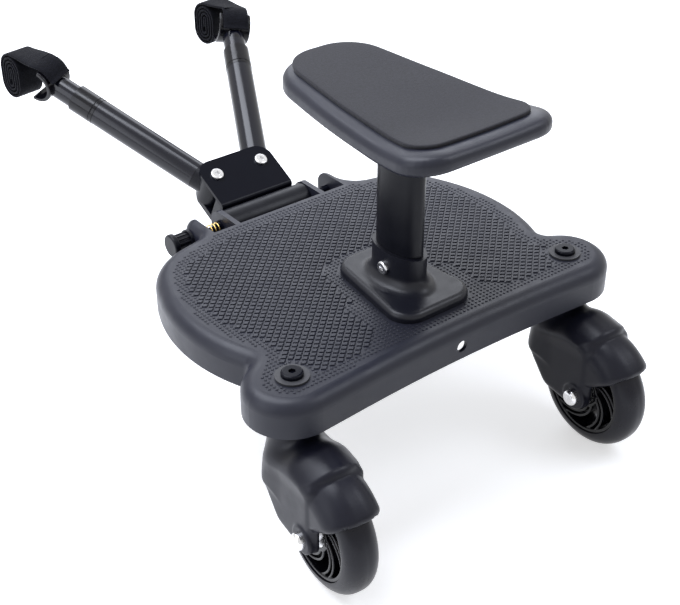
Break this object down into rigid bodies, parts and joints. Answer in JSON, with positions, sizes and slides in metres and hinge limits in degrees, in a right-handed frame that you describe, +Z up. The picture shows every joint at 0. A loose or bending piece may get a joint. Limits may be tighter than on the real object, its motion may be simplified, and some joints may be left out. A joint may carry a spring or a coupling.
{
  "type": "buggy board",
  "caption": "Ride-on board for the back of a pushchair: tread deck on swivel casters, a seat on an oval post, and hinged telescopic arms with strap cradles.",
  "frame": {"origin": "middle of the part's box in plan, on the floor under the wheels", "axes": "+X to the rider's right, +Y forwards to the pushchair, +Z up"},
  "size_m": [0.355, 0.5854, 0.328],
  "materials": {
    "deck_plastic": "satin bluish charcoal moulding",
    "black_plastic": "satin black moulding",
    "gloss_black": "gloss black",
    "black_tube": "gloss black powder coat",
    "black_steel": "satin gloss black coat",
    "bright_steel": "bright zinc or chrome",
    "gold_steel": "gold passivated spring wire",
    "tyre_rubber": "smooth dark polyurethane",
    "pad_fabric": "fine dark grey fabric on thin foam",
    "strap_fabric": "black hook and loop webbing"
  },
  "bodies": {
    "board": {"deck": "deck_plastic", "swivel_bushes": "black_plastic", "caster_washers": "black_plastic", "caster_bolts": "black_steel", "caster_nuts": "bright_steel", "seat_foot": "deck_plastic", "foot_screws": "bright_steel", "seat_post": "black_plastic", "seat_pan": "deck_plastic", "seat_pad": "pad_fabric", "post_bolts": "bright_steel", "post_nuts": "bright_steel", "hinge_pin": "black_steel"},
    "release": {"release_knob": "black_plastic", "release_pin": "bright_steel", "pin_clip": "bright_steel", "pin_spring": "gold_steel"},
    "hinge": {"hinge_block": "black_plastic", "bracket_plate": "black_steel", "pivot_screws": "bright_steel", "pivot_nuts": "bright_steel"},
    "left_caster": {"left_fork": "deck_plastic", "left_axle_bolt": "bright_steel", "left_axle_nut": "bright_steel"},
    "left_wheel": {"left_rim": "gloss_black", "left_tyre": "tyre_rubber", "left_wheel_bearings": "bright_steel", "left_wheel_spacers": "bright_steel"},
    "left_arm": {"left_arm_root": "black_plastic", "left_outer_tube": "black_tube", "left_root_rivet": "bright_steel"},
    "left_lock": {"left_lock_collar": "gloss_black"},
    "left_slider": {"left_inner_tube": "black_tube", "left_slide_bush": "black_plastic", "left_saddle": "gloss_black", "left_strap": "strap_fabric"},
    "right_caster": {"right_fork": "deck_plastic", "right_axle_bolt": "bright_steel", "right_axle_nut": "bright_steel"},
    "right_wheel": {"right_rim": "gloss_black", "right_tyre": "tyre_rubber", "right_wheel_bearings": "bright_steel", "right_wheel_spacers": "bright_steel"},
    "right_arm": {"right_arm_root": "black_plastic", "right_outer_tube": "black_tube", "right_root_rivet": "bright_steel"},
    "right_lock": {"right_lock_collar": "gloss_black"},
    "right_slider": {"right_inner_tube": "black_tube", "right_slide_bush": "black_plastic", "right_saddle": "gloss_black", "right_strap": "strap_fabric"}
  },
  "joints": [
    {"name": "arm_tilt", "type": "hinge", "parent": "board", "child": "hinge", "pos_m": [0, 0.04062, 0.14325], "axis": [1, 0, 0], "range_deg": [-36, 54]},
    {"name": "pin_pull", "type": "slide", "parent": "board", "child": "release", "axis": [-1, 0, 0], "range_m": [0, 0.0065], "stiffness_N_per_m": 800, "springref_m": -0.006, "deforming": ["pin_spring"]},
    {"name": "left_swivel", "type": "hinge", "parent": "board", "child": "left_caster", "pos_m": [-0.14, -0.19138, 0.1267], "axis": [0, 0, 1], "continuous": true},
    {"name": "left_wheel_spin", "type": "hinge", "parent": "left_caster", "child": "left_wheel", "pos_m": [-0.14436, -0.24119, 0.0513], "axis": [0.9962, -0.0872, 0], "continuous": true},
    {"name": "left_arm_swing", "type": "hinge", "parent": "hinge", "child": "left_arm", "pos_m": [-0.0238, 0.08715, 0.15733], "axis": [0, -0.4384, 0.8988], "range_deg": [-15, 20]},
    {"name": "left_collar_twist", "type": "hinge", "parent": "left_arm", "child": "left_lock", "pos_m": [-0.08275, 0.20079, 0.21275], "axis": [-0.4226, 0.8146, 0.3973], "range_deg": [0, 90]},
    {"name": "left_telescope", "type": "slide", "parent": "left_arm", "child": "left_slider", "axis": [-0.4226, 0.8146, 0.3973], "range_m": [-0.012, 0.045]},
    {"name": "right_swivel", "type": "hinge", "parent": "board", "child": "right_caster", "pos_m": [0.14, -0.19138, 0.1267], "axis": [0, 0, 1], "continuous": true},
    {"name": "right_wheel_spin", "type": "hinge", "parent": "right_caster", "child": "right_wheel", "pos_m": [0.13825, -0.24135, 0.0513], "axis": [0.9994, -0.0349, 0], "continuous": true},
    {"name": "right_arm_swing", "type": "hinge", "parent": "hinge", "child": "right_arm", "pos_m": [0.0238, 0.08715, 0.15733], "axis": [0, 0.4384, -0.8988], "range_deg": [-15, 20]},
    {"name": "right_collar_twist", "type": "hinge", "parent": "right_arm", "child": "right_lock", "pos_m": [0.08275, 0.20079, 0.21275], "axis": [0.4226, 0.8146, 0.3973], "range_deg": [0, 90]},
    {"name": "right_telescope", "type": "slide", "parent": "right_arm", "child": "right_slider", "axis": [0.4226, 0.8146, 0.3973], "range_m": [-0.012, 0.045]}
  ]
}
